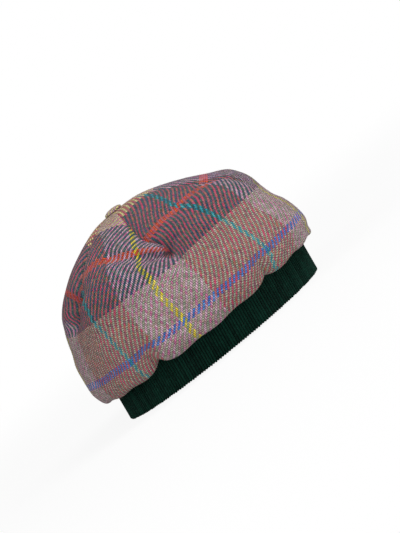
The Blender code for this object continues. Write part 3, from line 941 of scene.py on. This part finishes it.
def fibreTree():
    look = fuzzLook
    tree, bench, given = newGeometryTree("looseFibres", [
        ("Density", "Float"), ("Lean Low", "Float"), ("Lean High", "Float"), ("Seed", "Int"),
        ("Fibre", "Object"), ("Finish", "Material")])
    spots = bench.node("GeometryNodeDistributePointsOnFaces", None, {
        "Mesh": given.out("Geometry"), "Density": given.out("Density"),
        "Seed": given.out("Seed")})
    threads = bench.node(
        "GeometryNodeInputNamedAttribute", {"data_type": "FLOAT_VECTOR"}, {"Name": "weave"})
    marked = bench.node(
        "GeometryNodeStoreNamedAttribute", {"data_type": "FLOAT_VECTOR", "domain": "POINT"},
        {"Geometry": spots, "Name": "root", "Value": threads})
    lean = bench.chance(given.out("Lean Low"), given.out("Lean High"), {"Seed": look["leanSeed"]})
    spin = bench.chance(0.0, look["wholeTurn"], {"Seed": look["spinSeed"]})
    turned = bench.node("FunctionNodeEulerToRotation", None, {0: bench.join(0.0, lean, spin)})
    rotation = bench.node(
        "FunctionNodeRotateRotation", {"rotation_space": "LOCAL"},
        {0: spots.out("Rotation"), 1: turned})
    size = bench.chance(look["smallest"], look["largest"], {"Seed": look["sizeSeed"]})
    shape = bench.node("GeometryNodeObjectInfo", None, {0: given.out("Fibre")})
    grown = bench.node("GeometryNodeInstanceOnPoints", None, {
        "Points": marked, "Instance": shape.out("Geometry"), "Rotation": rotation, "Scale": size})
    endTree(bench, grown, given.out("Finish"))
    return tree


def finishFibre(name):
    # the colour of the yarn that a fibre stands on, a little paler
    look = fuzzLook
    material, bench, shader = newFinish(name, look)
    place = bench.node("ShaderNodeAttribute", {"attribute_name": "root"}, out="Vector")
    colour, level, _ = weaveYarns(bench, place)
    softened = bench.mixColour(look["paleShare"], colour, screenColour(*look["pale"]))
    bench.feed(bench.shadeColour(softened, level * look["shade"]), shader, "Base Color")
    return material


tweed = finishTweed("tweed")
cloth = makeCloth()
fuzz = bpy.data.objects.new("looseFibres", cloth.data.copy())
scene.collection.objects.link(fuzz)
cloth.data.materials.append(tweed)
wall = cloth.modifiers.new("wall", "SOLIDIFY")
wall.thickness = crownShape["wall"]
wall.offset = -1
wall.use_even_offset = False
crown = bakeModifiers(cloth)
print("crown:", len(crown.data.polygons), "faces")

headband = makeBandBody()
useTree(headband, ribTree(), {
    "Rib Depth": bandLook["ribDepth"], "Rib Curve": bandLook["ribCurve"],
    "Unevenness": bandLook["unevenness"], "Seed": bandLook["seed"],
    "Finish": finishKnit("rib_knit")})
headband = bakeModifiers(headband)
print("headband:", len(headband.data.polygons), "faces")

button = makeButton()
button.data.materials.append(finishTweed("button_tweed"))
print("button:", len(button.data.polygons), "faces")

fibre = makeFibre()
useTree(fuzz, fibreTree(), {
    "Density": fuzzLook["density"], "Lean Low": math.radians(fuzzLook["leanLow"]),
    "Lean High": math.radians(fuzzLook["leanHigh"]), "Seed": fuzzLook["seed"],
    "Fibre": fibre, "Finish": finishFibre("wool_fibre")})
fuzz = bakeModifiers(fuzz)
bpy.data.objects.remove(fibre)
print("loose fibres:", len(fuzz.data.polygons), "faces")

for piece, slot in ((crown, "tweed"), (fuzz, "tweed"), (headband, "rib_knit"),
                    (button, "button_tweed")):
    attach(piece, "root")
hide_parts("crown")
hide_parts("headband")
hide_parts("crown_button")


# the studio
studio = {
    "pixel": 0.00084,           # metres of the hat for each pixel of the picture
    "roll": 38.97,              # degrees that the picture is turned from upright
    "height": 4.2,              # degrees that the camera looks down
    "distance": 2.4,
    "aim": (29.69, 75.67),      # pixels forward and up from the band's middle
    "pictureHeight": 533,
    "sensor": 36,               # mm
    # metres to the camera's right of the aim, above it and back from it, then power and size
    "lights": {
        "key": (0, 1.4, 0.6, 20.5, 0.8),
        "fill": (0, 0.3, 1.6, 9.4, 1.2),
        "side": (-1.5, 0, 0.8, 12, 1.2),
    },
    "world": 0.15,              # light from all round, 1 in the picture's background
    "floorRadius": 4.5, "floorSides": 96, "floorShade": 0.75, "floorRoughness": 0.7,
    "floorGlow": 0.90,          # how far the floor under the hat fades into the background
    "glowSpan": (0.2, 1.1),     # metres from the hat over which it fades all the way
}


def makeCamera():
    look = studio
    roll, height = math.radians(look["roll"]), math.radians(look["height"])
    forward = Vector((0, math.cos(height), -math.sin(height)))
    level = Vector((1, 0, 0))
    upright = Vector((0, math.sin(height), math.cos(height)))
    right = math.cos(roll) * level - math.sin(roll) * upright
    up = math.sin(roll) * level + math.cos(roll) * upright
    aim = Vector((-bandShape["setBack"], 0, 0))
    aim += (level * look["aim"][0] + upright * look["aim"][1]) * look["pixel"]
    data = bpy.data.cameras.new("camera")
    data.sensor_width = look["sensor"]
    data.lens = look["sensor"] * look["distance"] / look["pixel"] / look["pictureHeight"]
    camera = bpy.data.objects.new("camera", data)
    placed = Matrix((right, up, -forward)).transposed().to_4x4()
    placed.translation = aim - forward * look["distance"]
    camera.matrix_world = placed
    scene.collection.objects.link(camera)
    scene.camera = camera
    return aim, right, up, forward


def addLight(name, place, aim, power, size):
    data = bpy.data.lights.new(name, "AREA")
    data.energy = power
    data.size = size
    light = bpy.data.objects.new(name, data)
    light.location = place
    light.rotation_euler = (aim - place).to_track_quat("-Z", "Y").to_euler()
    scene.collection.objects.link(light)


def makeFloor():
    # a pale round floor that fades into the background away from the hat
    look = studio
    radius, sides, shade = look["floorRadius"], look["floorSides"], look["floorShade"]
    turns = [2 * math.pi * side / sides for side in range(sides)]
    points = [(radius * math.cos(turn), radius * math.sin(turn), 0) for turn in turns]
    floor = addMesh("floor", points, [tuple(range(sides))])
    material = bpy.data.materials.new("pale_floor")
    material.use_nodes = True
    bench = Bench(material.node_tree)
    shader = material.node_tree.nodes["Principled BSDF"]
    shader.inputs["Base Color"].default_value = (shade, shade, shade, 1)
    shader.inputs["Roughness"].default_value = look["floorRoughness"]
    spot = bench.node("ShaderNodeTexCoord", out="Object")
    away = bench.node("ShaderNodeVectorMath", {"operation": "LENGTH"}, {0: spot}, "Value")
    seen = bench.node("ShaderNodeLightPath", out="Is Camera Ray")
    glow = bench.node("ShaderNodeEmission", None, {"Color": (1, 1, 1, 1), "Strength": 1.0})
    blend = bench.node("ShaderNodeMixShader", None, {
        0: bench.range(away, *look["glowSpan"], look["floorGlow"], 1.0) * seen,
        1: Wire(bench, shader.outputs[0]), 2: glow})
    bench.feed(blend, material.node_tree.nodes["Material Output"], "Surface")
    floor.data.materials.append(material)


def makeWorld():
    world = bpy.data.worlds.new("studio")
    scene.world = world
    world.use_nodes = True
    bench = Bench(world.node_tree)
    seen = bench.node("ShaderNodeLightPath", out="Is Camera Ray")
    background = world.node_tree.nodes["Background"]
    background.inputs["Color"].default_value = (1, 1, 1, 1)
    bench.feed(studio["world"] + seen * (1 - studio["world"]), background, "Strength")


aim, right, up, forward = makeCamera()
for name, (across, above, back, power, size) in studio["lights"].items():
    addLight(name, aim + right * across + up * above - forward * back, aim, power, size)
makeFloor()
makeWorld()
scene.view_settings.view_transform = "Standard"
print("studio ready")

# with this the renderer's noise filter keeps the weave
scene.cycles.denoising_prefilter = "NONE"
